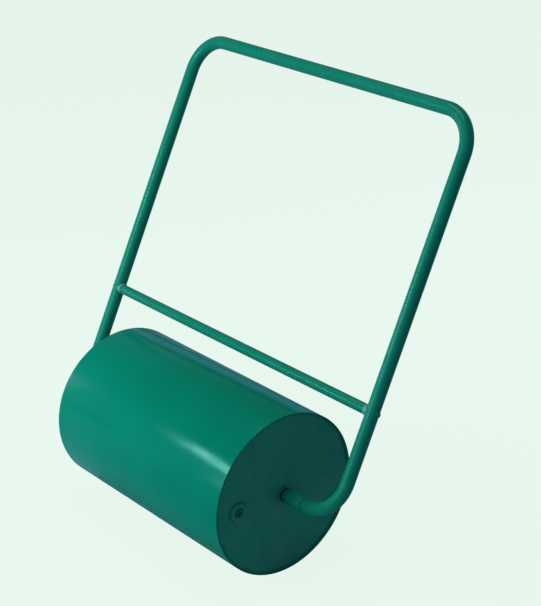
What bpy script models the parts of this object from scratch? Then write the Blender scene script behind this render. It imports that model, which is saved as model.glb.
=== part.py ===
"""Lawn roller: a water-filled steel drum that turns on two spindles in a bent tube handle.

Metres, +Z up. The origin is on the ground, straight below the middle of the axle.
+X runs along the axle to the side with the filler, and the handle leans back towards +Y.
"""

import math

import bmesh
import bpy
from mathutils import Matrix

# Drum
DRUM_RADIUS = 0.159
DRUM_WIDTH = 0.508
DRUM_SIDES = 72
SHELL_WALL = 0.0016
PLATE_WALL = 0.0016
PLATE_INSET = 0.004  # the shell's edge stands this far past the end plate
FLANGE_DEPTH = 0.018
PLATE_CORNER = 0.005
HUB_PROJECTION = 0.002  # centre tube beyond each end plate

# Axle: journal in bush in centre tube
JOURNAL_RADIUS = 0.008
JOURNAL_LENGTH = 0.034  # inside the centre tube
BUSH_WALL = 0.0018
CENTRE_TUBE_RADIUS = 0.0125
BUSH_LENGTH = 0.030
BUSH_FLANGE = 0.002
BUSH_FLANGE_RADIUS = 0.0145
THRUST_WASHER = 0.0015
THRUST_WASHER_RADIUS = 0.013
SPINDLE_SOCKET = 0.030  # length of spindle plugged into the handle tube
HUB_SIDES = 32

# Handle
HANDLE_TUBE_RADIUS = 0.013
HANDLE_TUBE_WALL = 0.0015
LEG_OFFSET = 0.3875  # leg centreline from the middle
HANDLE_HEIGHT = 0.754  # axle to the grip's centreline
TOP_BEND = 0.070
FOOT_BEND = 0.075
FOOT_GAP = 0.018  # handle tube's end to the end plate
COLLAR_RADIUS = 0.0153
COLLAR_LENGTH = 0.040
BEND_STEPS = 8
HANDLE_LEAN = math.radians(25)

# Crossbar and its fixings
CROSSBAR_HEIGHT = 0.208
CROSSBAR_RADIUS = 0.010
CROSSBAR_WALL = 0.0015
CROSSBAR_SIDES = 24
SADDLE_RADIUS = 0.011
SADDLE_THICKNESS = 0.003
INSERT_LENGTH = 0.025
BOLT_RADIUS = 0.0029
BOLT_REACH = 0.021  # bolt inside the crossbar
BOLT_HEAD_RADIUS = 0.005
BOLT_HEAD_HEIGHT = 0.0018
BOLT_HEAD_DOME = 0.0028  # how far the dome reaches in from the rim
BOLT_HEAD_EDGE = 0.0005
HEX_SOCKET = (0.0018, 0.001)  # radius to the corners, depth
WASHER_RADIUS = 0.0058
WASHER_THICKNESS = 0.0009

# Filler
FILLER_OFFSET = 0.107  # from the axle, towards the front
SOCKET_FLANGE_RADIUS = 0.018
SOCKET_FLANGE_HEIGHT = 0.004
SOCKET_EDGE = 0.0015
SOCKET_RADIUS = 0.013
SOCKET_DEPTH = 0.012
SOCKET_BORE = 0.006
SEAT_RADIUS = 0.010
SEAT_DEPTH = 0.0045
GASKET_RADIUS = 0.0092
GASKET_THICKNESS = 0.0012
PLUG_HEAD_RADIUS = 0.0092
PLUG_HEAD_HEIGHT = 0.0034
PLUG_STEM_LENGTH = 0.0125
PLUG_SLOT = (0.0026, 0.0125, 0.0018)  # width, length, depth
FILLER_SIDES = 32

# Gaps between separate pieces
FACE_GAP = 0.0003
ROUND_GAP = 0.0002
RUNNING_GAP = 0.0003
CUT_MARGIN = 0.01

# A flat of the faceted drum lies on the ground, so the axle is one apothem up.
AXLE_HEIGHT = DRUM_RADIUS * math.cos(math.pi / DRUM_SIDES)
PLATE_FACE = DRUM_WIDTH / 2 - PLATE_INSET
HUB_END = PLATE_FACE + HUB_PROJECTION
BUSH_FACE = HUB_END + FACE_GAP + BUSH_FLANGE
WASHER_FACE = BUSH_FACE + FACE_GAP + THRUST_WASHER
HANDLE_END = PLATE_FACE + FOOT_GAP
SADDLE_FACE = LEG_OFFSET - HANDLE_TUBE_RADIUS - FACE_GAP - SADDLE_THICKNESS
CROSSBAR_END = SADDLE_FACE - FACE_GAP
WASHER_START = LEG_OFFSET + HANDLE_TUBE_RADIUS + FACE_GAP
HEAD_START = WASHER_START + WASHER_THICKNESS + FACE_GAP
SOCKET_START = PLATE_FACE + FACE_GAP
SOCKET_FACE = SOCKET_START + SOCKET_FLANGE_HEIGHT
SEAT_FACE = SOCKET_FACE - SEAT_DEPTH
GASKET_START = SEAT_FACE + FACE_GAP
PLUG_START = GASKET_START + GASKET_THICKNESS + FACE_GAP
SIDES = (("left", -1), ("right", 1))


def clear_scene():
    for old in list(bpy.data.objects):
        bpy.data.objects.remove(old, do_unlink=True)


def make_collection(name):
    collection = bpy.data.collections.new(name)
    bpy.context.scene.collection.children.link(collection)
    return collection


def make_material(name, colour, roughness, metallic=0.0):
    material = bpy.data.materials.new(name)
    material.use_nodes = True
    shader = material.node_tree.nodes["Principled BSDF"]
    shader.inputs["Base Color"].default_value = (*colour, 1.0)
    shader.inputs["Roughness"].default_value = roughness
    shader.inputs["Metallic"].default_value = metallic
    return material


clear_scene()
roller = make_collection("lawn_roller")
cutters = make_collection("cutters")
cutters.hide_render = True
enamel = make_material("green_enamel", (0.0, 0.19, 0.12), 0.3)
zinc = make_material("zinc_plated_steel", (0.55, 0.57, 0.58), 0.4, 1.0)
black_steel = make_material("blackened_steel", (0.03, 0.03, 0.032), 0.4, 0.8)
pale_nylon = make_material("pale_nylon", (0.24, 0.42, 0.36), 0.5)
green_nylon = make_material("green_nylon", (0.01, 0.17, 0.12), 0.45)
plastic = make_material("green_plastic", (0.002, 0.09, 0.065), 0.45)
rubber = make_material("black_rubber", (0.01, 0.01, 0.01), 0.8)


def make_empty(name, location, turn_about_x=0.0):
    empty = bpy.data.objects.new(name, None)
    empty.location = location
    empty.rotation_euler = (turn_about_x, 0.0, 0.0)
    roller.objects.link(empty)
    return empty


# Turning about -X tips the handle's top back towards +Y.
handle_pivot = make_empty("handle_pivot", (0.0, 0.0, AXLE_HEIGHT), -HANDLE_LEAN)
drum_pivot = make_empty("drum_pivot", (0.0, 0.0, AXLE_HEIGHT))
filler_pivot = make_empty("filler_pivot", (0.0, -FILLER_OFFSET, AXLE_HEIGHT))
crossbar_pivot = make_empty("crossbar_pivot", (0.0, 0.0, CROSSBAR_HEIGHT))
crossbar_pivot.parent = handle_pivot


def add_object(name, data, material, parent, collection=roller):
    obj = bpy.data.objects.new(name, data)
    if material:
        data.materials.append(material)
    collection.objects.link(obj)
    obj.parent = parent
    return obj


def smooth(obj):
    obj.data.shade_smooth()
    obj.data.set_sharp_from_angle(angle=math.radians(35))


def turned(name, profile, sides, material, parent, side=1, closed=True):
    """A turned shape about the X axis. The profile is (radius, distance along X) points,
    outer side first, from its outboard end inwards. side is -1 on the left."""
    half = math.pi / sides
    mesh = bpy.data.meshes.new(name)
    points = [(r * math.cos(half), r * math.sin(half), x) for r, x in profile]
    edges = [(i, i + 1) for i in range(len(points) - 1)]
    if closed:
        edges.append((len(points) - 1, 0))
    mesh.from_pydata(points, edges, [])
    obj = add_object(name, mesh, material, parent)
    obj.rotation_euler = (0.0, side * math.pi / 2, 0.0)
    screw = obj.modifiers.new("turn", "SCREW")
    screw.axis = "Z"
    screw.steps = sides
    screw.render_steps = sides
    screw.use_merge_vertices = True
    screw.merge_threshold = 0.00001
    screw.use_smooth_shade = True
    return obj


def ring_profile(outer, inner, start, end, chamfer=0.0):
    """A rectangle from start to end along X, with its two outer corners chamfered."""
    if not chamfer:
        return [(outer, end), (outer, start), (inner, start), (inner, end)]
    return [
        (outer - chamfer, end),
        (outer, end - chamfer),
        (outer, start + chamfer),
        (outer - chamfer, start),
        (inner, start),
        (inner, end),
    ]


def arc(centre, radius, start, end, steps, flatten=1.0):
    """Points on an arc, angles in radians from the first axis to the second, whose size
    along the second axis is flatten times that along the first."""
    angles = [start + (end - start) * i / steps for i in range(steps + 1)]
    return [
        (centre[0] + radius * math.cos(a), centre[1] + flatten * radius * math.sin(a))
        for a in angles
    ]


def cutter_cylinder(name, radius, length, centre, axis, parent, sides=24):
    mesh = bpy.data.meshes.new(name)
    shape = bmesh.new()
    bmesh.ops.create_cone(
        shape,
        cap_ends=True,
        segments=sides,
        radius1=radius,
        radius2=radius,
        depth=length,
    )
    if axis == "X":
        bmesh.ops.rotate(shape, verts=shape.verts, matrix=Matrix.Rotation(math.pi / 2, 3, "Y"))
    bmesh.ops.translate(shape, verts=shape.verts, vec=centre)
    shape.to_mesh(mesh)
    shape.free()
    obj = add_object(name, mesh, None, parent, cutters)
    obj.hide_render = True
    obj.display_type = "WIRE"
    return obj


def combine(obj, other, operation):
    boolean = obj.modifiers.new(other.name, "BOOLEAN")
    boolean.operation = operation
    boolean.solver = "EXACT"
    boolean.object = other


def make_shell():
    half = DRUM_WIDTH / 2
    profile = ring_profile(DRUM_RADIUS, DRUM_RADIUS - SHELL_WALL, -half, half)
    turned("drum_shell", profile, DRUM_SIDES, enamel, drum_pivot)


def make_end_plate(label, side):
    """A flat disc with a flange turned inwards, pushed into the shell."""
    rim = DRUM_RADIUS - SHELL_WALL - ROUND_GAP
    hole = CENTRE_TUBE_RADIUS + ROUND_GAP
    back = PLATE_FACE - PLATE_WALL
    centre = (rim - PLATE_CORNER, PLATE_FACE - PLATE_CORNER)
    outside = arc(centre, PLATE_CORNER, math.pi / 2, 0.0, 3)
    inside = arc(centre, PLATE_CORNER - PLATE_WALL, 0.0, math.pi / 2, 3)
    flange_edge = PLATE_FACE - FLANGE_DEPTH
    profile = [
        (hole, PLATE_FACE),
        *outside,
        (rim, flange_edge),
        (rim - PLATE_WALL, flange_edge),
        *inside,
        (hole, back),
    ]
    return turned(f"end_plate_{label}", profile, DRUM_SIDES, enamel, drum_pivot, side)


def make_centre_tube():
    """The sealed tube through the drum that carries a bush at each end."""
    bore = JOURNAL_RADIUS + RUNNING_GAP + BUSH_WALL + ROUND_GAP
    profile = ring_profile(CENTRE_TUBE_RADIUS, bore, -HUB_END, HUB_END)
    turned("centre_tube", profile, HUB_SIDES, enamel, drum_pivot)


def make_bush(label, side):
    inner = JOURNAL_RADIUS + RUNNING_GAP
    outer = inner + BUSH_WALL
    flange_back = HUB_END + FACE_GAP
    profile = [
        (BUSH_FLANGE_RADIUS, BUSH_FACE),
        (BUSH_FLANGE_RADIUS, flange_back),
        (outer, flange_back),
        (outer, flange_back - BUSH_LENGTH),
        (inner, flange_back - BUSH_LENGTH),
        (inner, BUSH_FACE),
    ]
    turned(f"bush_{label}", profile, HUB_SIDES, green_nylon, drum_pivot, side)


def make_filler(end_plate):
    """The threaded socket in the right end plate, its gasket and its screw plug."""
    hole = cutter_cylinder(
        "filler_hole",
        SOCKET_RADIUS + ROUND_GAP,
        2 * CUT_MARGIN,
        (PLATE_FACE, 0.0, 0.0),
        "X",
        filler_pivot,
        FILLER_SIDES,
    )
    combine(end_plate, hole, "DIFFERENCE")
    profile = [
        (SOCKET_FLANGE_RADIUS - SOCKET_EDGE, SOCKET_FACE),
        (SOCKET_FLANGE_RADIUS, SOCKET_FACE - SOCKET_EDGE),
        (SOCKET_FLANGE_RADIUS, SOCKET_START),
        (SOCKET_RADIUS, SOCKET_START),
        (SOCKET_RADIUS, SOCKET_START - SOCKET_DEPTH),
        (SOCKET_BORE, SOCKET_START - SOCKET_DEPTH),
        (SOCKET_BORE, SEAT_FACE),
        (SEAT_RADIUS, SEAT_FACE),
        (SEAT_RADIUS, SOCKET_FACE),
    ]
    turned("filler_socket", profile, FILLER_SIDES, enamel, filler_pivot)
    gasket = ring_profile(GASKET_RADIUS, SOCKET_BORE, GASKET_START, GASKET_START + GASKET_THICKNESS)
    turned("plug_gasket", gasket, FILLER_SIDES, rubber, filler_pivot)
    make_plug()


def make_plug():
    stem = SOCKET_BORE - RUNNING_GAP
    top = PLUG_START + PLUG_HEAD_HEIGHT
    tip = PLUG_START - PLUG_STEM_LENGTH
    edge = 0.0008
    profile = [
        (0.0, top),
        (PLUG_HEAD_RADIUS - edge, top),
        (PLUG_HEAD_RADIUS, top - edge),
        (PLUG_HEAD_RADIUS, PLUG_START),
        (stem, PLUG_START),
        (stem, tip + edge),
        (stem - edge, tip),
        (0.0, tip),
    ]
    plug = turned("filler_plug", profile, FILLER_SIDES, plastic, filler_pivot, closed=False)
    width, length, depth = PLUG_SLOT
    for name, size_y, size_z in (("slot_across", width, length), ("slot_along", length, width)):
        mesh = bpy.data.meshes.new(name)
        shape = bmesh.new()
        bmesh.ops.create_cube(shape, size=1.0)
        bmesh.ops.scale(shape, verts=shape.verts, vec=(2 * depth, size_y, size_z))
        bmesh.ops.translate(shape, verts=shape.verts, vec=(top, 0.0, 0.0))
        shape.to_mesh(mesh)
        shape.free()
        slot = add_object(name, mesh, None, filler_pivot, cutters)
        slot.hide_render = True
        slot.display_type = "WIRE"
        combine(plug, slot, "DIFFERENCE")


def handle_route():
    """Centreline of the bent tube in the handle's own plane, from the left foot round to the right."""
    foot = arc((LEG_OFFSET - FOOT_BEND, FOOT_BEND), FOOT_BEND, -math.pi / 2, 0.0, BEND_STEPS)
    shoulder_centre = (LEG_OFFSET - TOP_BEND, HANDLE_HEIGHT - TOP_BEND)
    shoulder = arc(shoulder_centre, TOP_BEND, 0.0, math.pi / 2, BEND_STEPS)
    right = [(HANDLE_END, 0.0), *foot, *shoulder]
    left = [(-x, z) for x, z in right]
    return [*left, *reversed(right)]


def make_handle_tube():
    """One open tube surface along the route, given its wall with Solidify."""
    route = handle_route()
    curve = bpy.data.curves.new("handle_route", "CURVE")
    curve.dimensions = "3D"
    curve.bevel_depth = HANDLE_TUBE_RADIUS
    curve.bevel_resolution = 8
    curve.use_fill_caps = False
    spline = curve.splines.new("POLY")
    spline.points.add(len(route) - 1)
    for point, (x, z) in zip(spline.points, route):
        point.co = (x, 0.0, z, 1.0)
    path = bpy.data.objects.new("handle_path", curve)
    cutters.objects.link(path)
    graph = bpy.context.evaluated_depsgraph_get()
    mesh = bpy.data.meshes.new_from_object(path.evaluated_get(graph))
    bpy.data.objects.remove(path)
    tube = add_object("handle_tube", mesh, enamel, handle_pivot)
    wall = tube.modifiers.new("wall", "SOLIDIFY")
    wall.thickness = HANDLE_TUBE_WALL
    wall.offset = -1.0
    wall.use_even_offset = True
    for label, side in SIDES:
        hole = cutter_cylinder(
            f"bolt_hole_{label}",
            BOLT_RADIUS + RUNNING_GAP,
            2 * (HANDLE_TUBE_RADIUS + CUT_MARGIN),
            (side * LEG_OFFSET, 0.0, CROSSBAR_HEIGHT),
            "X",
            handle_pivot,
        )
        combine(tube, hole, "DIFFERENCE")
    smooth(tube)


def make_spindle(label, side):
    """A stepped bar: its thick part is welded in the tube's end, its journal runs in the bush."""
    thick = HANDLE_TUBE_RADIUS - HANDLE_TUBE_WALL - ROUND_GAP
    outer_end = HANDLE_END + SPINDLE_SOCKET
    shoulder = WASHER_FACE + FACE_GAP
    journal_end = HUB_END - JOURNAL_LENGTH
    edge = 0.001
    profile = [
        (0.0, outer_end),
        (thick - edge, outer_end),
        (thick, outer_end - edge),
        (thick, shoulder),
        (JOURNAL_RADIUS, shoulder),
        (JOURNAL_RADIUS, journal_end + edge),
        (JOURNAL_RADIUS - edge, journal_end),
        (0.0, journal_end),
    ]
    turned(f"spindle_{label}", profile, HUB_SIDES, enamel, handle_pivot, side, closed=False)


def make_collar(label, side):
    """A short sleeve welded over the handle tube's end."""
    inner = HANDLE_TUBE_RADIUS + ROUND_GAP
    profile = ring_profile(COLLAR_RADIUS, inner, HANDLE_END, HANDLE_END + COLLAR_LENGTH, 0.0006)
    turned(f"collar_{label}", profile, HUB_SIDES, enamel, handle_pivot, side)


def make_thrust_washer(label, side):
    inner = JOURNAL_RADIUS + RUNNING_GAP
    profile = ring_profile(THRUST_WASHER_RADIUS, inner, BUSH_FACE + FACE_GAP, WASHER_FACE)
    turned(f"thrust_washer_{label}", profile, HUB_SIDES, black_steel, handle_pivot, side)


def make_crossbar(pivot):
    profile = ring_profile(CROSSBAR_RADIUS, CROSSBAR_RADIUS - CROSSBAR_WALL, -CROSSBAR_END, CROSSBAR_END)
    turned("crossbar_tube", profile, CROSSBAR_SIDES, enamel, pivot)


def make_insert(label, side, pivot):
    """The threaded plug pressed into the crossbar's end for the bolt."""
    outer = CROSSBAR_RADIUS - CROSSBAR_WALL - ROUND_GAP
    inner = BOLT_RADIUS + ROUND_GAP
    profile = ring_profile(outer, inner, CROSSBAR_END - INSERT_LENGTH, CROSSBAR_END)
    turned(f"crossbar_insert_{label}", profile, CROSSBAR_SIDES, zinc, pivot, side)


def make_saddle(label, side, pivot):
    """A spacer, flat against the crossbar and hollowed to fit round the leg."""
    inner = BOLT_RADIUS + RUNNING_GAP
    profile = ring_profile(SADDLE_RADIUS, inner, SADDLE_FACE, LEG_OFFSET - HANDLE_TUBE_RADIUS / 2)
    saddle = turned(f"saddle_{label}", profile, CROSSBAR_SIDES, pale_nylon, pivot, side)
    leg = cutter_cylinder(
        f"leg_space_{label}",
        HANDLE_TUBE_RADIUS + FACE_GAP,
        2 * SADDLE_RADIUS + 2 * CUT_MARGIN,
        (side * LEG_OFFSET, 0.0, 0.0),
        "Z",
        pivot,
        40,
    )
    combine(saddle, leg, "DIFFERENCE")


def make_bolt(label, side, pivot):
    """A low domed head outside the leg, with a hexagon socket, and a shank into the crossbar."""
    crown = HEAD_START + BOLT_HEAD_HEIGHT
    rim = HEAD_START + BOLT_HEAD_EDGE
    centre = (BOLT_HEAD_RADIUS - BOLT_HEAD_DOME, rim)
    flatten = (crown - rim) / BOLT_HEAD_DOME
    shank_end = CROSSBAR_END - BOLT_REACH
    profile = [
        (0.0, crown),
        *arc(centre, BOLT_HEAD_DOME, math.pi / 2, 0.0, 4, flatten),
        (BOLT_HEAD_RADIUS, HEAD_START),
        (BOLT_RADIUS, HEAD_START),
        (BOLT_RADIUS, shank_end),
        (0.0, shank_end),
    ]
    bolt = turned(f"crossbar_bolt_{label}", profile, CROSSBAR_SIDES, enamel, pivot, side, closed=False)
    radius, depth = HEX_SOCKET
    centre = (side * crown, 0.0, 0.0)
    socket = cutter_cylinder(f"hex_socket_{label}", radius, 2 * depth, centre, "X", pivot, 6)
    combine(bolt, socket, "DIFFERENCE")


def make_bolt_washer(label, side, pivot):
    inner = BOLT_RADIUS + ROUND_GAP
    profile = ring_profile(WASHER_RADIUS, inner, WASHER_START, WASHER_START + WASHER_THICKNESS)
    turned(f"bolt_washer_{label}", profile, CROSSBAR_SIDES, enamel, pivot, side)


make_shell()
make_centre_tube()
plates = {label: make_end_plate(label, side) for label, side in SIDES}
make_filler(plates["right"])
make_handle_tube()
make_crossbar(crossbar_pivot)
for side_label, side_sign in SIDES:
    make_bush(side_label, side_sign)
    make_spindle(side_label, side_sign)
    make_collar(side_label, side_sign)
    make_thrust_washer(side_label, side_sign)
    make_insert(side_label, side_sign, crossbar_pivot)
    make_saddle(side_label, side_sign, crossbar_pivot)
    make_bolt(side_label, side_sign, crossbar_pivot)
    make_bolt_washer(side_label, side_sign, crossbar_pivot)
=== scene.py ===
import math

import bmesh
import bpy
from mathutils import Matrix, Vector


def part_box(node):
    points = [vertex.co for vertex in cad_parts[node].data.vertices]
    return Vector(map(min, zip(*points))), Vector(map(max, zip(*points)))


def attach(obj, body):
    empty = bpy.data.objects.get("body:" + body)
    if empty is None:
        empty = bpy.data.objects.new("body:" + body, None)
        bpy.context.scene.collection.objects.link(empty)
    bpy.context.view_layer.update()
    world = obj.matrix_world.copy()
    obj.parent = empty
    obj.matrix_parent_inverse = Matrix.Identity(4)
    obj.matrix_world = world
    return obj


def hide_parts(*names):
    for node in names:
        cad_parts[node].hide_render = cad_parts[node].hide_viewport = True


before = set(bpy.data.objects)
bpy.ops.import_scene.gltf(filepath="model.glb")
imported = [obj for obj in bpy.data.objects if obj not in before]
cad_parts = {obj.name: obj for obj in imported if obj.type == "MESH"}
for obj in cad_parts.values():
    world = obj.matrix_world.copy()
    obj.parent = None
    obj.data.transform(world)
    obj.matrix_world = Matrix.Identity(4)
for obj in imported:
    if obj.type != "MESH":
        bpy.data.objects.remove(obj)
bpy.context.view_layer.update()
scene = bpy.context.scene
print("lawn roller: frame loaded,", len(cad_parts), "solids")


def linearColour(hexText):
    # sRGB hex to the linear colour that a shader reads
    parts = [int(hexText[i:i + 2], 16) / 255 for i in (0, 2, 4)]
    return (*[c / 12.92 if c <= 0.04045 else ((c + 0.055) / 1.055) ** 2.4 for c in parts], 1.0)


def addNode(tree, kind, links=None, **settings):
    # links joins or fills sockets, and settings are the node's own properties
    node = tree.nodes.new(kind)
    for name, value in settings.items():
        setattr(node, name, value)
    for socket, value in (links or {}).items():
        if isinstance(value, bpy.types.NodeSocket):
            tree.links.new(value, node.inputs[socket])
        else:
            node.inputs[socket].default_value = value
    return node


cameraSettings = {
    "place": (2.3014, -1.7328, 1.6309),
    "aim": (0.0924, 0.0997, 0.4594),
    "lens": 99.03,
    "sensor": 36.0,
}


def makeCamera():
    data = bpy.data.cameras.new("studioCamera")
    data.lens = cameraSettings["lens"]
    data.sensor_width = cameraSettings["sensor"]
    camera = bpy.data.objects.new("studioCamera", data)
    camera.location = cameraSettings["place"]
    back = Vector(cameraSettings["place"]) - Vector(cameraSettings["aim"])
    camera.rotation_euler = back.to_track_quat("Z", "Y").to_euler()
    scene.collection.objects.link(camera)
    scene.camera = camera


lightSettings = {
    # place, aim, width, height, watts, colour
    "keyStrip": ((-1.0, -1.6, 1.18), (0.25, 0.0, 0.2), 0.5, 0.28, 8.6, "ffffff"),
    "frontPanel": ((-0.6, -2.55, 1.15), (0.0, 0.1, 0.35), 1.6, 1.3, 27.0, "ffffff"),
    "lowPanel": ((-1.4, -1.8, 0.3), (-0.1, 0.0, 0.1), 0.9, 0.4, 12.0, "84dcff"),
    "sidePanel": ((-2.45, -0.85, 0.45), (0.0, 0.1, 0.35), 0.8, 1.1, 3.0, "ffffff"),
    "topPanel": ((-0.45, 0.1, 3.2), (0.0, 0.1, 0.2), 1.0, 1.8, 26.0, "ffffff"),
    "backPanel": ((-0.3, 2.4, 1.5), (0.0, 0.0, 0.3), 1.4, 1.0, 14.0, "d6e6ff"),
    "endFill": ((2.5, -1.1, 0.5), (0.2, 0.0, 0.2), 1.6, 0.8, 1.9, "fff0e2"),
}


def makeLights():
    for name, (place, aim, width, height, watts, colour) in lightSettings.items():
        data = bpy.data.lights.new(name, "AREA")
        data.shape = "RECTANGLE"
        data.size = width
        data.size_y = height
        data.energy = watts
        data.color = linearColour(colour)[:3]
        light = bpy.data.objects.new(name, data)
        light.location = place
        light.rotation_euler = (Vector(place) - Vector(aim)).to_track_quat("Z", "Y").to_euler()
        light.visible_camera = False
        light.visible_glossy = name not in ("lowPanel", "backPanel", "endFill")
        scene.collection.objects.link(light)


stageSettings = {
    "colour": "e5f3ea",
    "shadowShare": 0.08,  # how much of the real light the seen floor shows
    "glow": 1.08,
    "floorTint": "7cb4be",
    "horizon": "629cc8",
    "horizonLevel": 1.05,
    "zenith": "b9c4c9",
    "zenithLevel": 0.15,
    "horizonTop": 0.6,
    "radius": 30.0,
}


def makeWorld():
    # the camera sees an even pale studio, and the roller is lit by a soft horizon
    s = stageSettings
    world = bpy.data.worlds.new("studioAir")
    world.use_nodes = True
    tree = world.node_tree
    tree.nodes.clear()
    place = addNode(tree, "ShaderNodeTexCoord").outputs["Generated"]
    split = addNode(tree, "ShaderNodeSeparateXYZ", {"Vector": place})
    height = addNode(tree, "ShaderNodeMapRange",
                     {"Value": split.outputs["Z"], "From Min": 0.2, "From Max": s["horizonTop"]},
                     interpolation_type="SMOOTHSTEP")
    low = addNode(tree, "ShaderNodeBackground",
                  {"Color": linearColour(s["horizon"]), "Strength": s["horizonLevel"]})
    high = addNode(tree, "ShaderNodeBackground",
                   {"Color": linearColour(s["zenith"]), "Strength": s["zenithLevel"]})
    sky = addNode(tree, "ShaderNodeMixShader",
                  {0: height.outputs["Result"], 1: low.outputs["Background"],
                   2: high.outputs["Background"]})
    seen = addNode(tree, "ShaderNodeBackground", {"Color": linearColour(s["colour"]), "Strength": 1.0})
    ray = addNode(tree, "ShaderNodeLightPath")
    both = addNode(tree, "ShaderNodeMixShader",
                   {0: ray.outputs["Is Camera Ray"], 1: sky.outputs["Shader"],
                    2: seen.outputs["Background"]})
    addNode(tree, "ShaderNodeOutputWorld", {"Surface": both.outputs["Shader"]})
    scene.world = world


def makeFloor():
    s = stageSettings
    shape = bmesh.new()
    bmesh.ops.create_circle(shape, cap_ends=True, radius=s["radius"], segments=96)
    mesh = bpy.data.meshes.new("studioFloor")
    shape.to_mesh(mesh)
    shape.free()
    floor = bpy.data.objects.new("studioFloor", mesh)
    material = bpy.data.materials.new("paleFloorPaper")
    material.use_nodes = True
    tree = material.node_tree
    tree.nodes.clear()
    glow = addNode(tree, "ShaderNodeEmission",
                   {"Color": linearColour(s["colour"]), "Strength": s["glow"]})
    paper = addNode(tree, "ShaderNodeBsdfDiffuse", {"Color": linearColour(s["colour"])})
    seen = addNode(tree, "ShaderNodeMixShader",
                   {0: s["shadowShare"], 1: glow.outputs["Emission"], 2: paper.outputs["BSDF"]})
    dim = addNode(tree, "ShaderNodeBsdfDiffuse", {"Color": linearColour(s["floorTint"])})
    ray = addNode(tree, "ShaderNodeLightPath")
    both = addNode(tree, "ShaderNodeMixShader",
                   {0: ray.outputs["Is Camera Ray"], 1: dim.outputs["BSDF"], 2: seen.outputs["Shader"]})
    addNode(tree, "ShaderNodeOutputMaterial", {"Surface": both.outputs["Shader"]})
    mesh.materials.append(material)
    scene.collection.objects.link(floor)


scene.view_settings.view_transform = "Standard"
makeCamera()
makeLights()
makeWorld()
makeFloor()
print("lawn roller: studio ready")


def startMaterial(name):
    material = bpy.data.materials.new(name)
    material.use_nodes = True
    tree = material.node_tree
    return material, tree, tree.nodes["Principled BSDF"]


def noiseOn(tree, place, size, detail=3.0, rough=0.5):
    # size is the pattern's length in metres
    return addNode(tree, "ShaderNodeTexNoise",
                   {"Vector": place, "Scale": 1.0 / size, "Detail": detail, "Roughness": rough})


def rangeOf(tree, value, low, high, toLow, toHigh):
    return addNode(tree, "ShaderNodeMapRange",
                   {"Value": value, "From Min": low, "From Max": high, "To Min": toLow, "To Max": toHigh})


def bumpOn(tree, height, distance, strength=1.0, under=None):
    links = {"Height": height, "Distance": distance, "Strength": strength}
    if under is not None:
        links["Normal"] = under
    return addNode(tree, "ShaderNodeBump", links)


enamelSettings = {
    "colour": "008a6b",
    "deepColour": "007c60",
    "wornColour": "1f8a72",
    "patchSize": 0.11,
    "peelSize": 0.006,  # real orange peel is 1 to 2 mm, drawn coarse enough to show
    "peelDepth": 0.00005,
    "waveSize": 0.085,  # the sheet's slow unevenness
    "waveDepth": 0.0006,
    "roughness": (0.13, 0.21),
    "specular": 0.2,
    "sheen": "6cffec",  # the gloss takes on the enamel's green
    "scuffSize": 0.018,
    "filmSize": 0.03,
    # grey veil colour: settled dust, and on the end plates a painted grey reflection of their shaded face
    "dustAndReflectionColour": "a3aaa4",
}


def makeEnamel(name, wave, peel, dustAndPaintedReflection, dull=0.0):
    # sprayed and stoved gloss enamel: deep wet green, slow waves, fine orange peel, faint scuffs, and a
    # grey veil of dust that on the end plates is turned up into painted grey reflection
    s = enamelSettings
    material, tree, shader = startMaterial(name)
    place = addNode(tree, "ShaderNodeTexCoord").outputs["Object"]
    patch = noiseOn(tree, place, s["patchSize"])
    colour = addNode(tree, "ShaderNodeMix", {0: patch.outputs["Fac"]}, data_type="RGBA")
    colour.inputs[6].default_value = linearColour(s["deepColour"])
    colour.inputs[7].default_value = linearColour(s["colour"])
    scuff = noiseOn(tree, place, s["scuffSize"], detail=6.0, rough=0.7)
    scuffed = rangeOf(tree, scuff.outputs["Fac"], 0.62, 0.75, 0.0, 0.35)
    worn = addNode(tree, "ShaderNodeMix", {0: scuffed.outputs["Result"]}, data_type="RGBA")
    tree.links.new(colour.outputs[2], worn.inputs[6])
    worn.inputs[7].default_value = linearColour(s["wornColour"])
    film = noiseOn(tree, place, s["filmSize"], detail=4.0)
    # grey veil in film patches: dust, turned up on the end plates into painted grey reflection
    dustAndReflectionShare = rangeOf(tree, film.outputs["Fac"], 0.3, 0.7, dustAndPaintedReflection * 0.6, dustAndPaintedReflection * 1.4)
    dustAndReflectionLayer = addNode(tree, "ShaderNodeMix", {0: dustAndReflectionShare.outputs["Result"]}, data_type="RGBA")
    tree.links.new(worn.outputs[2], dustAndReflectionLayer.inputs[6])
    dustAndReflectionLayer.inputs[7].default_value = linearColour(s["dustAndReflectionColour"])
    tree.links.new(dustAndReflectionLayer.outputs[2], shader.inputs["Base Color"])
    low, high = (level + dull for level in s["roughness"])
    gloss = rangeOf(tree, film.outputs["Fac"], 0.35, 0.65, low, high)
    dulled = addNode(tree, "ShaderNodeMath",
                     {0: scuffed.outputs["Result"], 1: 0.6, 2: gloss.outputs["Result"]},
                     operation="MULTIPLY_ADD")
    tree.links.new(dulled.outputs[0], shader.inputs["Roughness"])
    slow = noiseOn(tree, place, s["waveSize"], detail=1.0)
    fine = noiseOn(tree, place, s["peelSize"], detail=2.0)
    slowBump = bumpOn(tree, slow.outputs["Fac"], s["waveDepth"] * wave)
    fineBump = bumpOn(tree, fine.outputs["Fac"], s["peelDepth"] * peel, under=slowBump.outputs["Normal"])
    tree.links.new(fineBump.outputs["Normal"], shader.inputs["Normal"])
    shader.inputs["Specular IOR Level"].default_value = s["specular"]
    shader.inputs["Specular Tint"].default_value = linearColour(s["sheen"])
    return material


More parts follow.
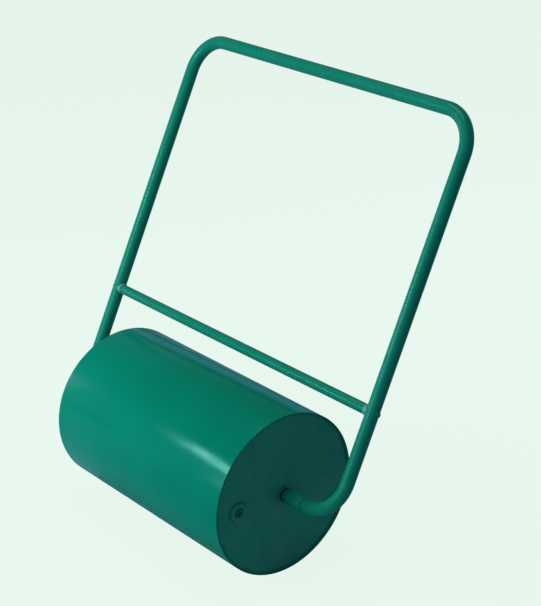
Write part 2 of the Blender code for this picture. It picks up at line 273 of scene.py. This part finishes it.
def makeMetal(name, deepColour, colour, cloudSize, gloss):
    # plain finished steel with cloudy patches in its colour and gloss
    material, tree, shader = startMaterial(name)
    place = addNode(tree, "ShaderNodeTexCoord").outputs["Object"]
    cloud = noiseOn(tree, place, cloudSize, detail=5.0)
    mix = addNode(tree, "ShaderNodeMix", {0: cloud.outputs["Fac"]}, data_type="RGBA")
    mix.inputs[6].default_value = linearColour(deepColour)
    mix.inputs[7].default_value = linearColour(colour)
    tree.links.new(mix.outputs[2], shader.inputs["Base Color"])
    rough = rangeOf(tree, cloud.outputs["Fac"], 0.3, 0.7, *gloss)
    tree.links.new(rough.outputs["Result"], shader.inputs["Roughness"])
    shader.inputs["Metallic"].default_value = 1.0
    return material


def makeMoulded(name, colour, deepColour, roughness, grain, depth):
    # moulded part: nearly even colour, with the mould's fine spark-eroded grain
    material, tree, shader = startMaterial(name)
    place = addNode(tree, "ShaderNodeTexCoord").outputs["Object"]
    patch = noiseOn(tree, place, 0.012)
    mix = addNode(tree, "ShaderNodeMix", {0: patch.outputs["Fac"]}, data_type="RGBA")
    mix.inputs[6].default_value = linearColour(deepColour)
    mix.inputs[7].default_value = linearColour(colour)
    tree.links.new(mix.outputs[2], shader.inputs["Base Color"])
    fine = noiseOn(tree, place, grain, detail=3.0)
    gloss = rangeOf(tree, fine.outputs["Fac"], 0.3, 0.7, roughness - 0.06, roughness + 0.08)
    tree.links.new(gloss.outputs["Result"], shader.inputs["Roughness"])
    bump = bumpOn(tree, fine.outputs["Fac"], depth)
    tree.links.new(bump.outputs["Normal"], shader.inputs["Normal"])
    return material


sheetEnamel = makeEnamel("greenStovedEnamelOnSheet", 1.0, 0.8, dustAndPaintedReflection=0.0)
# end plates: the same green, a little duller, with the grey veil raised to paint the grey reflection that
# a shaded face shows
plateEnamelPaintedReflection = makeEnamel("dustyGreenEnamelWithPaintedReflectionOnPlate", 0.6, 0.8, dustAndPaintedReflection=0.12, dull=0.04)
tubeEnamel = makeEnamel("greenStovedEnamelOnTube", 0.12, 0.2, dustAndPaintedReflection=0.02, dull=0.09)
zincPlate = makeMetal("brightZincPlate", "8f9694", "c3c8c4", 0.004, (0.28, 0.46))
blackSteel = makeMetal("blackenedSteel", "26292a", "45443f", 0.005, (0.3, 0.5))
paleNylon = makeMoulded("paleMouldedNylon", "5fa893", "549684", 0.42, 0.0015, 0.00004)
greenNylon = makeMoulded("greenMouldedNylon", "2f8270", "277463", 0.45, 0.0015, 0.00004)
greenPlastic = makeMoulded("darkGreenPolypropylene", "0b6250", "075343", 0.42, 0.0012, 0.00005)
blackRubber = makeMoulded("blackNitrileRubber", "141414", "0d0d0d", 0.72, 0.0015, 0.00006)
print("lawn roller: finishes ready")


def roundedOutline(corners, steps=5):
    # corners are (x, radius, rounding) round a closed section
    points = []
    for i, (x, r, rounding) in enumerate(corners):
        here = Vector((x, r))
        if not rounding:
            points.append(here)
            continue
        before = (Vector(corners[i - 1][:2]) - here).normalized()
        after = (Vector(corners[(i + 1) % len(corners)][:2]) - here).normalized()
        half = before.angle(after) / 2
        centre = here + (before + after).normalized() * (rounding / math.sin(half))
        start = here + before * (rounding / math.tan(half)) - centre
        end = here + after * (rounding / math.tan(half)) - centre
        turn = math.remainder(math.atan2(end.y, end.x) - math.atan2(start.y, start.x), math.tau)
        for step in range(steps + 1):
            angle = math.atan2(start.y, start.x) + turn * step / steps
            points.append(centre + rounding * Vector((math.cos(angle), math.sin(angle))))
    return points


def turnedMesh(name, outline, centreY, centreZ, around=96):
    # a closed section turned about a line along X, with a single point where it meets the line
    shape = bmesh.new()
    rings = []
    for x, r in outline:
        if r < 1e-6:
            rings.append([shape.verts.new((x, centreY, centreZ))])
            continue
        angles = [math.tau * step / around for step in range(around)]
        rings.append([shape.verts.new((x, centreY + r * math.sin(a), centreZ + r * math.cos(a)))
                      for a in angles])
    for first, second in zip(rings, rings[1:] + rings[:1]):
        if len(first) == 1 and len(second) == 1:
            continue
        for i in range(around):
            j = (i + 1) % around
            corners = [first[i % len(first)], first[j % len(first)],
                       second[j % len(second)], second[i % len(second)]]
            shape.faces.new(list(dict.fromkeys(corners)))
    bmesh.ops.recalc_face_normals(shape, faces=shape.faces)
    mesh = bpy.data.meshes.new(name)
    shape.to_mesh(mesh)
    shape.free()
    return mesh


def finishPiece(name, mesh, material, body, nodes=(), sharpAngle=40):
    mesh.materials.clear()
    mesh.materials.append(material)
    mesh.shade_smooth()
    mesh.set_sharp_from_angle(angle=math.radians(sharpAngle))
    piece = bpy.data.objects.new(name, mesh)
    scene.collection.objects.link(piece)
    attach(piece, body)
    if nodes:
        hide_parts(*nodes)
    return piece


def evaluatedMesh(piece):
    bpy.context.view_layer.update()
    graph = bpy.context.evaluated_depsgraph_get()
    return bpy.data.meshes.new_from_object(piece.evaluated_get(graph))


def cutMesh(mesh, cutterMeshes):
    # takes the cutters out of the mesh
    work = bpy.data.objects.new("work", mesh)
    scene.collection.objects.link(work)
    cutters = []
    for cutterMesh in cutterMeshes:
        cutter = bpy.data.objects.new("cutter", cutterMesh)
        scene.collection.objects.link(cutter)
        cut = work.modifiers.new("cut", "BOOLEAN")
        cut.solver = "EXACT"
        cut.object = cutter
        cutters.append(cutter)
    result = evaluatedMesh(work)
    for spare in (work, *cutters):
        bpy.data.objects.remove(spare)
    return result


def rodMesh(centre, direction, radius, length, around=64):
    shape = bmesh.new()
    bmesh.ops.create_cone(shape, cap_ends=True, segments=around,
                          radius1=radius, radius2=radius, depth=length)
    turn = Vector(direction).to_track_quat("Z", "Y").to_matrix()
    bmesh.ops.rotate(shape, verts=shape.verts, matrix=turn)
    bmesh.ops.translate(shape, verts=shape.verts, vec=centre)
    mesh = bpy.data.meshes.new("rod")
    shape.to_mesh(mesh)
    shape.free()
    return mesh


def newTree(name, inputs):
    # a geometry node tree with the named inputs, as (kind, default)
    tree = bpy.data.node_groups.new(name, "GeometryNodeTree")
    tree.interface.new_socket("Geometry", in_out="INPUT", socket_type="NodeSocketGeometry")
    for label, (kind, value) in inputs.items():
        socket = tree.interface.new_socket(label, in_out="INPUT", socket_type=kind)
        if value is not None:
            socket.default_value = value
    tree.interface.new_socket("Geometry", in_out="OUTPUT", socket_type="NodeSocketGeometry")
    return tree, addNode(tree, "NodeGroupInput").outputs


def endTree(tree, geometry, given):
    real = addNode(tree, "GeometryNodeRealizeInstances", {"Geometry": geometry})
    painted = addNode(tree, "GeometryNodeSetMaterial",
                      {"Geometry": real.outputs["Geometry"], "Material": given["Material"]})
    addNode(tree, "NodeGroupOutput", {"Geometry": painted.outputs["Geometry"]})


def grownMesh(seedMesh, tree, values):
    # what the tree makes from the seed mesh, as a plain mesh
    work = bpy.data.objects.new("work", seedMesh)
    scene.collection.objects.link(work)
    modifier = work.modifiers.new(tree.name, "NODES")
    modifier.node_group = tree
    for item in tree.interface.items_tree:
        if item.in_out == "INPUT" and item.name in values:
            modifier[item.identifier] = values[item.name]
    mesh = evaluatedMesh(work)
    work.modifiers.remove(modifier)
    bpy.data.objects.remove(work)
    return mesh


def lineMesh(points, sizes=None):
    # a bare line through the points, each with its own bend radius
    mesh = bpy.data.meshes.new("line")
    mesh.from_pydata([tuple(p) for p in points], [(i, i + 1) for i in range(len(points) - 1)], [])
    if sizes:
        bend = mesh.attributes.new("bend", "FLOAT", "POINT")
        bend.data.foreach_set("value", sizes)
    return mesh


drumLow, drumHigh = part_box("drum_shell")
axleHeight = (drumLow.z + drumHigh.z) / 2
drumRadius = (drumHigh.z - drumLow.z) / 2
drumEnd = drumHigh.x
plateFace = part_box("end_plate_right")[1].x
fitGap = 0.0002  # air left round a piece that sits inside another
faceGap = 0.0003  # air left where two pieces stand face to face

shellSettings = {"wall": 0.0016, "edge": 0.0007, "around": 192}


def makeShell():
    inner = drumRadius - shellSettings["wall"]
    edge = shellSettings["edge"]
    outline = roundedOutline([(-drumEnd, drumRadius, edge), (drumEnd, drumRadius, edge),
                              (drumEnd, inner, edge), (-drumEnd, inner, edge)], 4)
    mesh = turnedMesh("drumShell", outline, 0.0, axleHeight, shellSettings["around"])
    finishPiece("drumShell", mesh, sheetEnamel, "drum", ["drum_shell"])


plateSettings = {"wall": 0.0016, "corner": 0.005, "flange": 0.018, "around": 192}


def makePlate(label, side):
    wall = plateSettings["wall"]
    rim = drumRadius - shellSettings["wall"] - fitGap
    hole = hubRadius + fitGap
    back = plateFace - wall
    flangeEdge = plateFace - plateSettings["flange"]
    corner = plateSettings["corner"]
    corners = [(plateFace, hole, 0), (plateFace, rim, corner), (flangeEdge, rim, 0),
               (flangeEdge, rim - wall, 0), (back, rim - wall, corner - wall), (back, hole, 0)]
    outline = [(side * x, r) for x, r in roundedOutline(corners, 6)]
    mesh = turnedMesh(f"endPlate{label}", outline, 0.0, axleHeight, plateSettings["around"])
    if label == "Right":
        cutter = rodMesh((plateFace, fillerY, axleHeight), (1, 0, 0), fillerRadius + fitGap, 0.02)
        mesh = cutMesh(mesh, [cutter])
    # the plates wear the enamel with painted grey reflection
    finishPiece(f"endPlate{label}", mesh, plateEnamelPaintedReflection, "drum",
                [f"end_plate_{label.lower()}"])


hubLow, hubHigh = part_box("centre_tube")
hubRadius = (hubHigh.z - hubLow.z) / 2
hubEnd = hubHigh.x

hubSettings = {"wall": 0.0022, "edge": 0.0006, "around": 64}


def makeHub():
    inner = hubRadius - hubSettings["wall"]
    edge = hubSettings["edge"]
    outline = roundedOutline([(-hubEnd, hubRadius, edge), (hubEnd, hubRadius, edge),
                              (hubEnd, inner, 0), (-hubEnd, inner, 0)], 3)
    mesh = turnedMesh("centreTube", outline, 0.0, axleHeight, hubSettings["around"])
    finishPiece("centreTube", mesh, tubeEnamel, "drum", ["centre_tube"])


bushSettings = {"wall": 0.0018, "length": 0.030, "edge": 0.0005, "around": 64}


def makeBush(label, side):
    low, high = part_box(f"bush_{label.lower()}")
    face = max(abs(low.x), abs(high.x))
    back = hubEnd + faceGap
    outer = hubRadius - hubSettings["wall"] - fitGap
    inner = outer - bushSettings["wall"]
    edge = bushSettings["edge"]
    rim = (high.z - low.z) / 2
    corners = [(face, rim, edge), (back, rim, edge / 2), (back, outer, 0),
               (face - bushSettings["length"], outer, 0), (face - bushSettings["length"], inner, 0),
               (face, inner, 0)]
    outline = [(side * x, r) for x, r in roundedOutline(corners, 3)]
    mesh = turnedMesh(f"bush{label}", outline, 0.0, axleHeight, bushSettings["around"])
    finishPiece(f"bush{label}", mesh, greenNylon, "drum", [f"bush_{label.lower()}"])


weldSettings = {
    "pitch": 0.0024,  # one ripple of the bead
    "pointsPerRipple": 5,
    "ripple": 0.16,  # how much each ripple swells
    "wander": 0.14,  # slow change along the bead
    "sides": 10,
    "bead": 0.0019,
    "smallBead": 0.0013,
    "lift": 0.0003,  # how far the bead's middle stands off the plate
    "rimInset": 0.0034,
    "hubOutset": 0.0008,
    "socketOutset": 0.0005,
    "collarLift": 0.0002,
    "collarOutset": 0.0006,
}


def makeWeldTree():
    tree, given = newTree("weldBead", {
        "RingRadius": ("NodeSocketFloat", 0.1),
        "BeadRadius": ("NodeSocketFloat", 0.002),
        "Points": ("NodeSocketInt", 400),
        "Ripples": ("NodeSocketInt", 80),
        "Material": ("NodeSocketMaterial", None),
    })
    ring = addNode(tree, "GeometryNodeCurvePrimitiveCircle",
                   {"Resolution": given["Points"], "Radius": given["RingRadius"]})
    along = addNode(tree, "GeometryNodeSplineParameter")
    phase = addNode(tree, "ShaderNodeMath", {0: along.outputs["Factor"], 1: given["Ripples"]},
                    operation="MULTIPLY")
    step = addNode(tree, "ShaderNodeMath", {0: phase.outputs[0]}, operation="FRACT")
    swell = rangeOf(tree, step.outputs[0], 0.0, 1.0,
                    1.0 - weldSettings["ripple"], 1.0 + weldSettings["ripple"])
    noise = addNode(tree, "ShaderNodeTexNoise", {"Scale": 60.0, "Detail": 2.0})
    wander = rangeOf(tree, noise.outputs["Fac"], 0.3, 0.7,
                     1.0 - weldSettings["wander"], 1.0 + weldSettings["wander"])
    size = addNode(tree, "ShaderNodeMath", {0: swell.outputs["Result"], 1: wander.outputs["Result"]},
                   operation="MULTIPLY")
    thick = addNode(tree, "ShaderNodeMath", {0: size.outputs[0], 1: given["BeadRadius"]},
                    operation="MULTIPLY")
    sized = addNode(tree, "GeometryNodeSetCurveRadius",
                    {"Curve": ring.outputs["Curve"], "Radius": thick.outputs[0]})
    section = addNode(tree, "GeometryNodeCurvePrimitiveCircle",
                      {"Resolution": weldSettings["sides"], "Radius": 1.0})
    bead = addNode(tree, "GeometryNodeCurveToMesh",
                   {"Curve": sized.outputs["Curve"], "Profile Curve": section.outputs["Curve"],
                    "Scale": thick.outputs[0]})
    endTree(tree, bead.outputs["Mesh"], given)
    return tree


def makeWeld(name, tree, x, y, ringRadius, beadRadius, body="drum"):
    ripples = round(math.tau * ringRadius / weldSettings["pitch"])
    mesh = grownMesh(bpy.data.meshes.new("seed"), tree, {
        "RingRadius": ringRadius, "BeadRadius": beadRadius, "Ripples": ripples,
        "Points": ripples * weldSettings["pointsPerRipple"], "Material": tubeEnamel})
    shape = bmesh.new()
    shape.from_mesh(mesh)
    for vert in shape.verts:  # the ring is made flat, and stands up across the axle here
        vert.co = Vector((x + vert.co.z, y + vert.co.x, axleHeight + vert.co.y))
    bmesh.ops.recalc_face_normals(shape, faces=shape.faces)
    shape.to_mesh(mesh)
    shape.free()
    finishPiece(name, mesh, tubeEnamel, body, sharpAngle=60)


fillerLow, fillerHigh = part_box("filler_socket")
fillerY = (fillerLow.y + fillerHigh.y) / 2
flangeRadius = (fillerHigh.z - fillerLow.z) / 2
fillerRadius = 0.013

socketSettings = {
    "bore": 0.006,
    "seatRadius": 0.010,
    "seatDepth": 0.0045,
    "flangeHeight": 0.004,
    "rounding": 0.0016,
    "edge": 0.0004,
    "around": 96,
}


def makeSocket():
    s = socketSettings
    start = fillerHigh.x - s["flangeHeight"]
    seat = fillerHigh.x - s["seatDepth"]
    corners = [(fillerHigh.x, s["seatRadius"], s["edge"]), (fillerHigh.x, flangeRadius, s["rounding"]),
               (start, flangeRadius, 0), (start, fillerRadius, 0),
               (fillerLow.x, fillerRadius, s["edge"]), (fillerLow.x, s["bore"], 0),
               (seat, s["bore"], 0), (seat, s["seatRadius"], 0)]
    mesh = turnedMesh("fillerSocket", roundedOutline(corners, 5), fillerY, axleHeight, s["around"])
    # the socket wears the plate enamel, with its painted grey reflection
    finishPiece("fillerSocket", mesh, plateEnamelPaintedReflection, "drum", ["filler_socket"])


gasketSettings = {"rimRounding": 0.0004, "boreRounding": 0.0002, "around": 64}


def makeGasket():
    low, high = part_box("plug_gasket")
    outer = (high.z - low.z) / 2
    bore = socketSettings["bore"]
    rim = gasketSettings["rimRounding"]
    mouth = gasketSettings["boreRounding"]
    corners = [(high.x, bore, mouth), (high.x, outer, rim), (low.x, outer, rim), (low.x, bore, mouth)]
    outline = roundedOutline(corners, 4)
    mesh = turnedMesh("plugGasket", outline, fillerY, axleHeight, gasketSettings["around"])
    finishPiece("plugGasket", mesh, blackRubber, "gasket", ["plug_gasket"])


plugSettings = {
    "headHeight": 0.0034,
    "rimRounding": 0.0008,
    "edge": 0.0003,
    "tipRounding": 0.001,
    "around": 96,
    "slotWidth": 0.0026,
    "slotLength": 0.0125,
    "slotDepth": 0.0018,
    "core": 0.0048,
    "threadPitch": 0.004,
    "threadRadius": 0.0008,
    "threadSides": 12,
}


def makeThreadTree():
    # the stem's coarse round thread: a helix given a round section
    tree, given = newTree("stemThread", {
        "HelixRadius": ("NodeSocketFloat", 0.0048),
        "Length": ("NodeSocketFloat", 0.01),
        "Turns": ("NodeSocketFloat", 2.5),
        "ThreadRadius": ("NodeSocketFloat", 0.0008),
        "Material": ("NodeSocketMaterial", None),
    })
    helix = addNode(tree, "GeometryNodeCurveSpiral",
                    {"Resolution": 48, "Rotations": given["Turns"], "Start Radius": given["HelixRadius"],
                     "End Radius": given["HelixRadius"], "Height": given["Length"]})
    section = addNode(tree, "GeometryNodeCurvePrimitiveCircle",
                      {"Resolution": plugSettings["threadSides"], "Radius": given["ThreadRadius"]})
    thread = addNode(tree, "GeometryNodeCurveToMesh",
                     {"Curve": helix.outputs["Curve"], "Profile Curve": section.outputs["Curve"],
                      "Fill Caps": True})
    endTree(tree, thread.outputs["Mesh"], given)
    return tree


def makePlug():
    low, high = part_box("filler_plug")
    headRadius = (high.z - low.z) / 2
    start = high.x - plugSettings["headHeight"]
    core = plugSettings["core"]
    corners = [(high.x, 0, 0), (high.x, headRadius, plugSettings["rimRounding"]),
               (start, headRadius, plugSettings["edge"]), (start, core, 0),
               (low.x, core, plugSettings["tipRounding"]), (low.x, 0, 0)]
    outline = roundedOutline(corners, 5)
    mesh = turnedMesh("fillerPlug", outline, fillerY, axleHeight, plugSettings["around"])
    slots = []
    for width, height in ((plugSettings["slotWidth"], plugSettings["slotLength"]),
                          (plugSettings["slotLength"], plugSettings["slotWidth"])):
        shape = bmesh.new()
        bmesh.ops.create_cube(shape, size=1.0)
        bmesh.ops.scale(shape, verts=shape.verts, vec=(2 * plugSettings["slotDepth"], width, height))
        bmesh.ops.translate(shape, verts=shape.verts, vec=(high.x, fillerY, axleHeight))
        slot = bpy.data.meshes.new("slot")
        shape.to_mesh(slot)
        shape.free()
        slots.append(slot)
    mesh = cutMesh(mesh, slots)
    finishPiece("fillerPlug", mesh, greenPlastic, "plug", ["filler_plug"])
    reach = start - low.x - 4 * plugSettings["threadRadius"]
    thread = grownMesh(bpy.data.meshes.new("seed"), makeThreadTree(), {
        "HelixRadius": core, "Length": reach, "Turns": reach / plugSettings["threadPitch"],
        "ThreadRadius": plugSettings["threadRadius"], "Material": greenPlastic})
    shape = bmesh.new()
    shape.from_mesh(thread)
    bmesh.ops.remove_doubles(shape, verts=shape.verts, dist=0.000001)
    first = low.x + 2 * plugSettings["threadRadius"]
    for vert in shape.verts:  # the helix is made upright, and lies along the stem here
        vert.co = Vector((first + vert.co.z, fillerY + vert.co.x, axleHeight + vert.co.y))
    bmesh.ops.recalc_face_normals(shape, faces=shape.faces)
    shape.to_mesh(thread)
    shape.free()
    finishPiece("plugThread", thread, greenPlastic, "plug", sharpAngle=60)


makeShell()
makeHub()
for label, side in (("Left", -1), ("Right", 1)):
    makePlate(label, side)
    makeBush(label, side)
makeSocket()
makeGasket()
makePlug()
weldTree = makeWeldTree()
weldFace = plateFace + weldSettings["lift"]
for label, side in (("Left", -1), ("Right", 1)):
    makeWeld(f"rimWeld{label}", weldTree, side * weldFace, 0.0,
             drumRadius - weldSettings["rimInset"], weldSettings["bead"])
    makeWeld(f"hubWeld{label}", weldTree, side * weldFace, 0.0,
             hubRadius + weldSettings["hubOutset"], weldSettings["bead"])
makeWeld("socketWeld", weldTree, weldFace, fillerY,
         flangeRadius + weldSettings["socketOutset"], weldSettings["smallBead"])
print("lawn roller: drum ready")


handleSettings = {
    "lean": math.radians(25),
    "tubeRadius": 0.0129,
    "legOffset": 0.3875,
    "height": 0.754,
    "shoulderBend": 0.070,
    "footBend": 0.075,
    "bendSteps": 24,
    "around": 48,
}
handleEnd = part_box("collar_right")[0].x
leanUp = Vector((0.0, math.sin(handleSettings["lean"]), math.cos(handleSettings["lean"])))


def onHandle(x, up, out=0.0):
    # a point in the handle's leaning plane, up from the axle, out square to the plane
    lean = handleSettings["lean"]
    square = Vector((0.0, math.cos(lean), -math.sin(lean)))
    return Vector((x, 0.0, axleHeight)) + leanUp * up + square * out


def makeTubeTree():
    tree, given = newTree("bentTube", {
        "TubeRadius": ("NodeSocketFloat", 0.013),
        "BendSteps": ("NodeSocketInt", 16),
        "Around": ("NodeSocketInt", 48),
        "Material": ("NodeSocketMaterial", None),
    })
    line = addNode(tree, "GeometryNodeMeshToCurve", {"Mesh": given["Geometry"]})
    bend = addNode(tree, "GeometryNodeInputNamedAttribute", {"Name": "bend"}, data_type="FLOAT")
    rounded = addNode(tree, "GeometryNodeFilletCurve",
                      {"Curve": line.outputs["Curve"], "Radius": bend.outputs["Attribute"],
                       "Count": given["BendSteps"]}, mode="POLY")
    section = addNode(tree, "GeometryNodeCurvePrimitiveCircle",
                      {"Resolution": given["Around"], "Radius": given["TubeRadius"]})
    tube = addNode(tree, "GeometryNodeCurveToMesh",
                   {"Curve": rounded.outputs["Curve"], "Profile Curve": section.outputs["Curve"],
                    "Fill Caps": True})
    endTree(tree, tube.outputs["Mesh"], given)
    return tree


def makeHandleTube(tree):
    s = handleSettings
    leg = s["legOffset"]
    corners = [(-handleEnd, 0, 0), (-leg, 0, s["footBend"]), (-leg, s["height"], s["shoulderBend"]),
               (leg, s["height"], s["shoulderBend"]), (leg, 0, s["footBend"]), (handleEnd, 0, 0)]
    line = lineMesh([onHandle(x, up) for x, up, bend in corners], [bend for x, up, bend in corners])
    mesh = grownMesh(line, tree, {"TubeRadius": s["tubeRadius"], "BendSteps": s["bendSteps"],
                                  "Around": s["around"], "Material": tubeEnamel})
    shape = bmesh.new()
    shape.from_mesh(mesh)
    bmesh.ops.remove_doubles(shape, verts=shape.verts, dist=0.00001)
    bmesh.ops.recalc_face_normals(shape, faces=shape.faces)
    shape.to_mesh(mesh)
    shape.free()
    finishPiece("handleTube", mesh, tubeEnamel, "handle", ["handle_tube"])


crossbarSettings = {"up": 0.208, "radius": 0.010, "wall": 0.0015, "edge": 0.0004, "around": 64}
legFace = handleSettings["legOffset"] - handleSettings["tubeRadius"] - faceGap
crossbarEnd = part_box("crossbar_tube")[1].x
crossbarPoint = onHandle(0.0, crossbarSettings["up"])


def makeCrossbar():
    radius = crossbarSettings["radius"]
    inner = radius - crossbarSettings["wall"]
    edge = crossbarSettings["edge"]
    outline = roundedOutline([(-crossbarEnd, radius, edge), (crossbarEnd, radius, edge),
                              (crossbarEnd, inner, 0), (-crossbarEnd, inner, 0)], 3)
    mesh = turnedMesh("crossbar", outline, crossbarPoint.y, crossbarPoint.z, crossbarSettings["around"])
    finishPiece("crossbar", mesh, tubeEnamel, "handle", ["crossbar_tube"])


saddleSettings = {"radius": 0.011, "thickness": 0.003, "rounding": 0.0008, "around": 64}


def makeSaddle(label, side):
    s = saddleSettings
    start = legFace - s["thickness"]
    end = handleSettings["legOffset"] - handleSettings["tubeRadius"] / 2
    bore = boltSettings["radius"] + faceGap
    corners = [(end, bore, 0), (end, s["radius"], 0), (start, s["radius"], s["rounding"]),
               (start, bore, 0)]
    outline = [(side * x, r) for x, r in roundedOutline(corners, 4)]
    mesh = turnedMesh(f"saddle{label}", outline, crossbarPoint.y, crossbarPoint.z, s["around"])
    leg = rodMesh(onHandle(side * handleSettings["legOffset"], crossbarSettings["up"]), leanUp,
                  handleSettings["tubeRadius"] + fitGap, 0.08, 96)
    mesh = cutMesh(mesh, [leg])
    finishPiece(f"saddle{label}", mesh, paleNylon, "handle", [f"saddle_{label.lower()}"])


boltSettings = {
    "radius": 0.0029,
    "headRadius": 0.005,
    "headHeight": 0.0018,
    "edge": 0.0005,
    "socketRadius": 0.0018,
    "socketDepth": 0.001,
    "around": 48,
}


def makeBolt(label, side):
    s = boltSettings
    low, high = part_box(f"crossbar_bolt_{label.lower()}")
    crown = max(abs(low.x), abs(high.x))
    tip = min(abs(low.x), abs(high.x))
    start = crown - s["headHeight"]
    rise = s["headHeight"] - s["edge"]
    dome = [(crown, 0.0)]
    for step in range(1, 9):
        angle = math.radians(90 - 90 * step / 8)
        across = s["headRadius"] * math.cos(angle) ** 0.8
        dome.append((start + s["edge"] + rise * math.sin(angle), across))
    outline = [*dome, (start, s["headRadius"]), (start, s["radius"]), (tip, s["radius"]), (tip, 0.0)]
    outline = [(side * x, r) for x, r in outline]
    mesh = turnedMesh(f"crossbarBolt{label}", outline, crossbarPoint.y, crossbarPoint.z, s["around"])
    socket = rodMesh((side * crown, crossbarPoint.y, crossbarPoint.z), (1, 0, 0),
                     s["socketRadius"], 2 * s["socketDepth"], 6)
    mesh = cutMesh(mesh, [socket])
    finishPiece(f"crossbarBolt{label}", mesh, tubeEnamel, "handle",
                [f"crossbar_bolt_{label.lower()}"])


washerSettings = {"rounding": 0.0003, "around": 48}


def makeBoltWasher(label):
    low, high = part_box(f"bolt_washer_{label.lower()}")
    rim = (high.z - low.z) / 2
    bore = boltSettings["radius"] + fitGap
    rounding = washerSettings["rounding"]
    corners = [(high.x, bore, 0), (high.x, rim, rounding), (low.x, rim, rounding), (low.x, bore, 0)]
    outline = roundedOutline(corners, 3)
    mesh = turnedMesh(f"boltWasher{label}", outline, crossbarPoint.y, crossbarPoint.z,
                      washerSettings["around"])
    finishPiece(f"boltWasher{label}", mesh, tubeEnamel, "handle",
                [f"bolt_washer_{label.lower()}"])


spindleSettings = {"journal": 0.008, "edge": 0.001, "around": 64}
thrustSettings = {"rounding": 0.0003, "around": 64}


def makeThrustWasher(label):
    low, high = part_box(f"thrust_washer_{label.lower()}")
    bore = spindleSettings["journal"] + faceGap
    rim = (high.z - low.z) / 2
    rounding = thrustSettings["rounding"]
    corners = [(high.x, bore, 0), (high.x, rim, rounding), (low.x, rim, rounding), (low.x, bore, 0)]
    outline = roundedOutline(corners, 3)
    mesh = turnedMesh(f"thrustWasher{label}", outline, 0.0, axleHeight, thrustSettings["around"])
    finishPiece(f"thrustWasher{label}", mesh, blackSteel, "handle",
                [f"thrust_washer_{label.lower()}"])


def makeSpindle(label, side):
    low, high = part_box(f"spindle_{label.lower()}")
    outer = max(abs(low.x), abs(high.x))
    inner = min(abs(low.x), abs(high.x))
    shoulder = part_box("thrust_washer_right")[1].x + faceGap
    thick = (high.z - low.z) / 2
    journal = spindleSettings["journal"]
    edge = spindleSettings["edge"]
    corners = [(outer, 0, 0), (outer, thick, edge), (shoulder, thick, edge / 2), (shoulder, journal, 0),
               (inner, journal, edge), (inner, 0, 0)]
    outline = [(side * x, r) for x, r in roundedOutline(corners, 4)]
    mesh = turnedMesh(f"spindle{label}", outline, 0.0, axleHeight, spindleSettings["around"])
    finishPiece(f"spindle{label}", mesh, tubeEnamel, "handle",
                [f"spindle_{label.lower()}"])


collarSettings = {"edge": 0.0009, "around": 64}


def makeCollar(label):
    low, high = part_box(f"collar_{label.lower()}")
    bore = handleSettings["tubeRadius"] + fitGap
    rim = (high.z - low.z) / 2
    edge = collarSettings["edge"]
    corners = [(high.x, bore, 0), (high.x, rim, edge), (low.x, rim, edge), (low.x, bore, 0)]
    outline = roundedOutline(corners, 4)
    mesh = turnedMesh(f"collar{label}", outline, 0.0, axleHeight, collarSettings["around"])
    finishPiece(f"collar{label}", mesh, tubeEnamel, "handle", [f"collar_{label.lower()}"])


makeHandleTube(makeTubeTree())
makeCrossbar()
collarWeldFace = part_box("collar_right")[1].x + weldSettings["collarLift"]
for label, side in (("Left", -1), ("Right", 1)):
    makeSaddle(label, side)
    makeBolt(label, side)
    makeBoltWasher(label)
    makeThrustWasher(label)
    makeSpindle(label, side)
    makeCollar(label)
    makeWeld(f"collarWeld{label}", weldTree, side * collarWeldFace, 0.0,
             handleSettings["tubeRadius"] + weldSettings["collarOutset"], weldSettings["smallBead"],
             body="handle")

# the inserts sit inside the crossbar and keep their own solids
for nodeName in ("crossbar_insert_left", "crossbar_insert_right"):
    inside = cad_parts[nodeName]
    inside.data.materials.clear()
    inside.data.materials.append(zincPlate)
print("lawn roller: handle ready")

print("lawn roller: finished")
